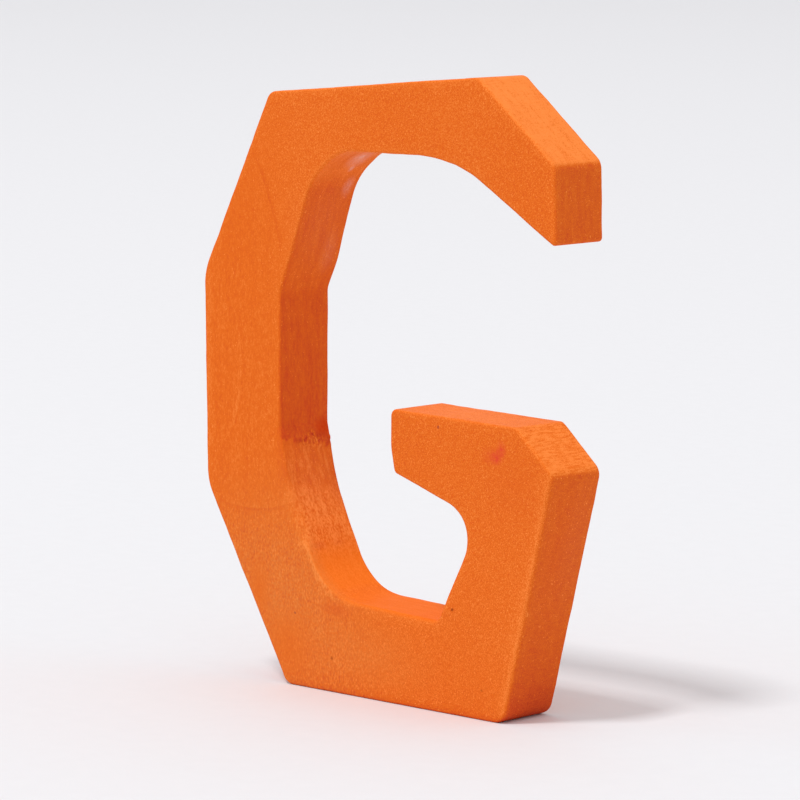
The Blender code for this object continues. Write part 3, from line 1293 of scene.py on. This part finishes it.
    def strays(self, trace: TracedOutline, depth: np.ndarray, torn: np.ndarray) -> np.ndarray:
        """Adds up how far the sawn walls stray into the wood.

        Args:
            trace: The outline's stations.
            depth: Depth behind the front face at each point.
            torn: How torn the wall is at each point.

        Returns:
            The stray at each point, none where the letter stands on the ground.
        """
        run = np.broadcast_to(trace.run, depth.shape)
        stray = self.tearing.field(run, depth) * torn
        for uneven in (self.saw_drift, self.saw_turns, self.sanding):
            stray += uneven.field(run, depth)
        start = self.starts(trace)
        inner = (trace.run > start["well"]) & (trace.run < start["arch"])
        for wave in self.waves:
            near = bell(trace.points[:, 1] - wave.height, wave.reach)
            stray += wave.dent * near * inner * depth / self.thickness
        return stray * np.clip(trace.points[:, 1] / self.foot_ease, 0.0, 1.0)

    def flat_face(
        self, rim: np.ndarray
    ) -> tuple[np.ndarray, list[list[int]], np.ndarray, np.ndarray]:
        """Fills a face inside its rim with even triangles.

        Args:
            rim: The rim's points, as x and z.

        Returns:
            The points inside the rim, the triangles over the rim's points and these, and for
            each inner point its distance from the rim and the rim's nearest point.

        Raises:
            ValueError: A rim is rounded so far that it crosses itself.
        """
        low, high = rim.min(axis=0), rim.max(axis=0)
        step = self.face_spacing
        row_step = step * math.sin(math.radians(60))
        columns = np.arange(low[0], high[0], step)
        rows = np.arange(low[1], high[1], row_step)
        grid_x, grid_z = np.meshgrid(columns, rows)
        grid_x[1::2] += step / 2
        grid = np.column_stack((grid_x.ravel(), grid_z.ravel()))
        inside, distance, nearest = self.inside_rim(grid, rim)
        keep = inside & (distance > step * self.rim_gap)
        inner = grid[keep]
        spots = [Vector(spot) for spot in np.vstack((rim, inner))]
        only_inside, tolerance = 1, 1e-6
        filled = geometry.delaunay_2d_cdt(spots, [], [list(range(len(rim)))], only_inside, tolerance)
        if len(filled[0]) != len(spots):
            raise ValueError("a rim crosses itself: it is rounded further than its corner")
        return inner, [list(face) for face in filled[2]], distance[keep], nearest[keep]

    @staticmethod
    def inside_rim(grid: np.ndarray, rim: np.ndarray) -> tuple[np.ndarray, np.ndarray, np.ndarray]:
        """Tells which points lie inside the rim, and how far from it they are.

        Args:
            grid: The points to test.
            rim: The rim's points.

        Returns:
            A flag, a distance and the rim's nearest point for each point.
        """
        crossings = np.zeros(len(grid), dtype=int)
        distance = np.full(len(grid), np.inf)
        nearest = np.zeros(len(grid), dtype=int)
        for place, ((x0, z0), (x1, z1)) in enumerate(zip(rim, np.roll(rim, -1, axis=0))):
            level = (z0 > grid[:, 1]) != (z1 > grid[:, 1])
            if z0 != z1:
                crossing = x0 + (grid[:, 1] - z0) * (x1 - x0) / (z1 - z0)
                crossings += level & (grid[:, 0] < crossing)
            away = np.hypot(grid[:, 0] - x0, grid[:, 1] - z0)
            nearest = np.where(away < distance, place, nearest)
            distance = np.minimum(distance, away)
        return crossings % 2 == 1, distance, nearest

    def dress(self, letter: bpy.types.Object) -> None:
        """Stains the letter and puts it in the place of its CAD solid.

        Args:
            letter: The letter's object.
        """
        letter.data.materials.append(self.finish.material())
        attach(letter, BODY)
        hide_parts(NODE)


@dataclass(frozen=True)
class CoatedPaper:
    """White background paper, matt-coated, so the floor stays pale and keeps the letter's shadow.

    Pressed fibres leave it barely clouded, and the coating gives it a faint sheen at a low angle.

    Attributes:
        colour: The paper's colour.
        shade: Its colour where the fibres lie thin.
        cloud: Size of one cloud of fibres.
        roughness: Roughness of the matt coating.
    """

    colour: str = "#e9e9ec"
    shade: str = "#e6e6e9"
    cloud: float = 3.0
    roughness: float = 0.8

    def material(self) -> bpy.types.Material:
        """Builds the paper.

        Returns:
            The paper's material, with a barely clouded white.
        """
        material = bpy.data.materials.new("coated_white_paper")
        material.use_nodes = True
        tree = material.node_tree
        surface = tree.nodes["Principled BSDF"]
        place = add_node(tree, "TexCoord").outputs["Object"]
        clouds = add_node(
            tree, "TexNoise", {"Vector": place, "Scale": 1 / (self.cloud * MM), "Detail": 2.0}
        )
        mixed = add_node(
            tree, "Mix",
            {"Factor": clouds.outputs["Fac"], "A": linear(self.colour), "B": linear(self.shade)},
            data_type="RGBA",
        )
        tree.links.new(mixed.outputs["Result"], surface.inputs["Base Color"])
        surface.inputs["Roughness"].default_value = self.roughness
        return material


@dataclass
class PaperFloor:
    """The pale floor that the letter stands on.

    Attributes:
        finish: The paper.
        reach: How far the paper runs from the letter, in metres.
        gap: How far it lies below the letter's foot.
    """

    finish: CoatedPaper
    reach: float = 4.5
    gap: float = 0.01

    def build(self) -> bpy.types.Object:
        """Lays the paper just under the letter's foot.

        Returns:
            The floor's object.
        """
        corners = [(-1, -1), (1, -1), (1, 1), (-1, 1)]
        mesh = bpy.data.meshes.new("paper_floor")
        spots = [(x * self.reach, y * self.reach, -self.gap * MM) for x, y in corners]
        mesh.from_pydata(spots, [], [(0, 1, 2, 3)])
        mesh.materials.append(self.finish.material())
        floor = bpy.data.objects.new("paper_floor", mesh)
        bpy.context.scene.collection.objects.link(floor)
        return floor


@dataclass(frozen=True)
class Softbox:
    """A square lamp that faces the letter.

    Attributes:
        name: The lamp's name.
        azimuth: Where it stands round the letter.
        elevation: How high it stands.
        distance: Its distance from the letter, in metres.
        side: The length of its side, in metres.
        share: The part of full light that it gives to a surface facing it.
    """

    name: str = "key_softbox"
    azimuth: float = -8.0
    elevation: float = 66.0
    distance: float = 5.0
    side: float = 0.75
    share: float = 0.41

    def build(self, aim: Vector) -> bpy.types.Object:
        """Hangs the lamp.

        Args:
            aim: The place it faces.

        Returns:
            The lamp's object.
        """
        lamp = bpy.data.lights.new(self.name, "AREA")
        lamp.shape = "SQUARE"
        lamp.size = self.side
        lamp.energy = self.share * (math.pi * self.distance) ** 2
        back = towards(self.azimuth, self.elevation)
        softbox = bpy.data.objects.new(self.name, lamp)
        softbox.location = aim + back * self.distance
        softbox.rotation_euler = back.to_track_quat("Z", "Y").to_euler()
        bpy.context.scene.collection.objects.link(softbox)
        return softbox


@dataclass(frozen=True)
class PaleRoom:
    """The room round the letter: even light from its white walls, and a pale backdrop.

    Attributes:
        walls: The colour of the walls' light.
        light: The strength of that light, where 1 is white.
        backdrop: The colour that the camera sees past the floor.
    """

    walls: str = "#ffffff"
    light: float = 0.77
    backdrop: str = "#e9e6ea"

    def build(self) -> bpy.types.World:
        """Lights the room.

        Returns:
            The scene's world, which shows the backdrop to the camera and in reflections.
        """
        world = bpy.data.worlds.new("pale_room")
        world.use_nodes = True
        tree = world.node_tree
        tree.nodes.clear()
        path = add_node(tree, "LightPath").outputs
        seen = add_node(
            tree, "Math", {0: path["Is Camera Ray"], 1: path["Is Glossy Ray"]}, operation="MAXIMUM"
        )
        room = add_node(tree, "Background", {"Color": linear(self.walls), "Strength": self.light})
        view = add_node(tree, "Background", {"Color": linear(self.backdrop), "Strength": 1.0})
        mixed = add_node(
            tree, "MixShader",
            {0: seen.outputs[0], 1: room.outputs["Background"], 2: view.outputs["Background"]},
        )
        add_node(tree, "OutputWorld", {"Surface": mixed.outputs[0]})
        bpy.context.scene.world = world
        return world


@dataclass(frozen=True)
class PhotoCamera:
    """A long lens on the letter's front right, a little above it.

    Attributes:
        lens: Focal length.
        sensor: Width of the square sensor.
        azimuth: How far round to the letter's right it stands.
        elevation: How far it looks down.
        roll: How far it is turned about its own axis.
        distance: Its distance from the place it looks at.
        aim: The place it looks at.
        sight: How far it sees, in metres.
    """

    lens: float = 214.1
    sensor: float = 36.0
    azimuth: float = 42.892
    elevation: float = 7.371
    roll: float = 0.631
    distance: float = 656.1
    aim: tuple[float, float, float] = (0.567, 0.0, 41.365)
    sight: float = 20.0

    def build(self) -> bpy.types.Object:
        """Sets up the camera and makes it the scene's own.

        Returns:
            The camera's object.
        """
        optics = bpy.data.cameras.new("camera")
        optics.lens = self.lens
        optics.sensor_width = self.sensor
        optics.clip_end = self.sight
        back = towards(self.azimuth, self.elevation)
        level = Vector((0.0, 0.0, 1.0)).cross(back).normalized()
        axes = Matrix((level, back.cross(level), back)).transposed()
        camera = bpy.data.objects.new("camera", optics)
        camera.matrix_world = axes.to_4x4() @ Matrix.Rotation(math.radians(self.roll), 4, "Z")
        camera.location = (Vector(self.aim) + back * self.distance) * MM
        bpy.context.scene.collection.objects.link(camera)
        bpy.context.scene.camera = camera
        return camera


def main() -> None:
    """Builds the letter and the studio round it, and logs what it built."""
    logging.basicConfig(level=logging.INFO, format="%(name)s: %(message)s")
    bpy.context.scene.view_settings.view_transform = "Standard"
    sawn = SawnLetter(LetterOutline(), StainedLime(), FrayedEdge())
    letter = sawn.build()
    sawn.dress(letter)
    LOG.info("%s: %d points, %d faces", letter.name, len(letter.data.vertices), len(letter.data.polygons))
    floor = PaperFloor(CoatedPaper()).build()
    LOG.info("%s: laid under the foot", floor.name)
    camera = PhotoCamera()
    LOG.info("%s: set up", camera.build().name)
    LOG.info("%s: lit", PaleRoom().build().name)
    LOG.info("%s: hung", Softbox().build(Vector(camera.aim) * MM).name)


if __name__ == "__main__":
    main()
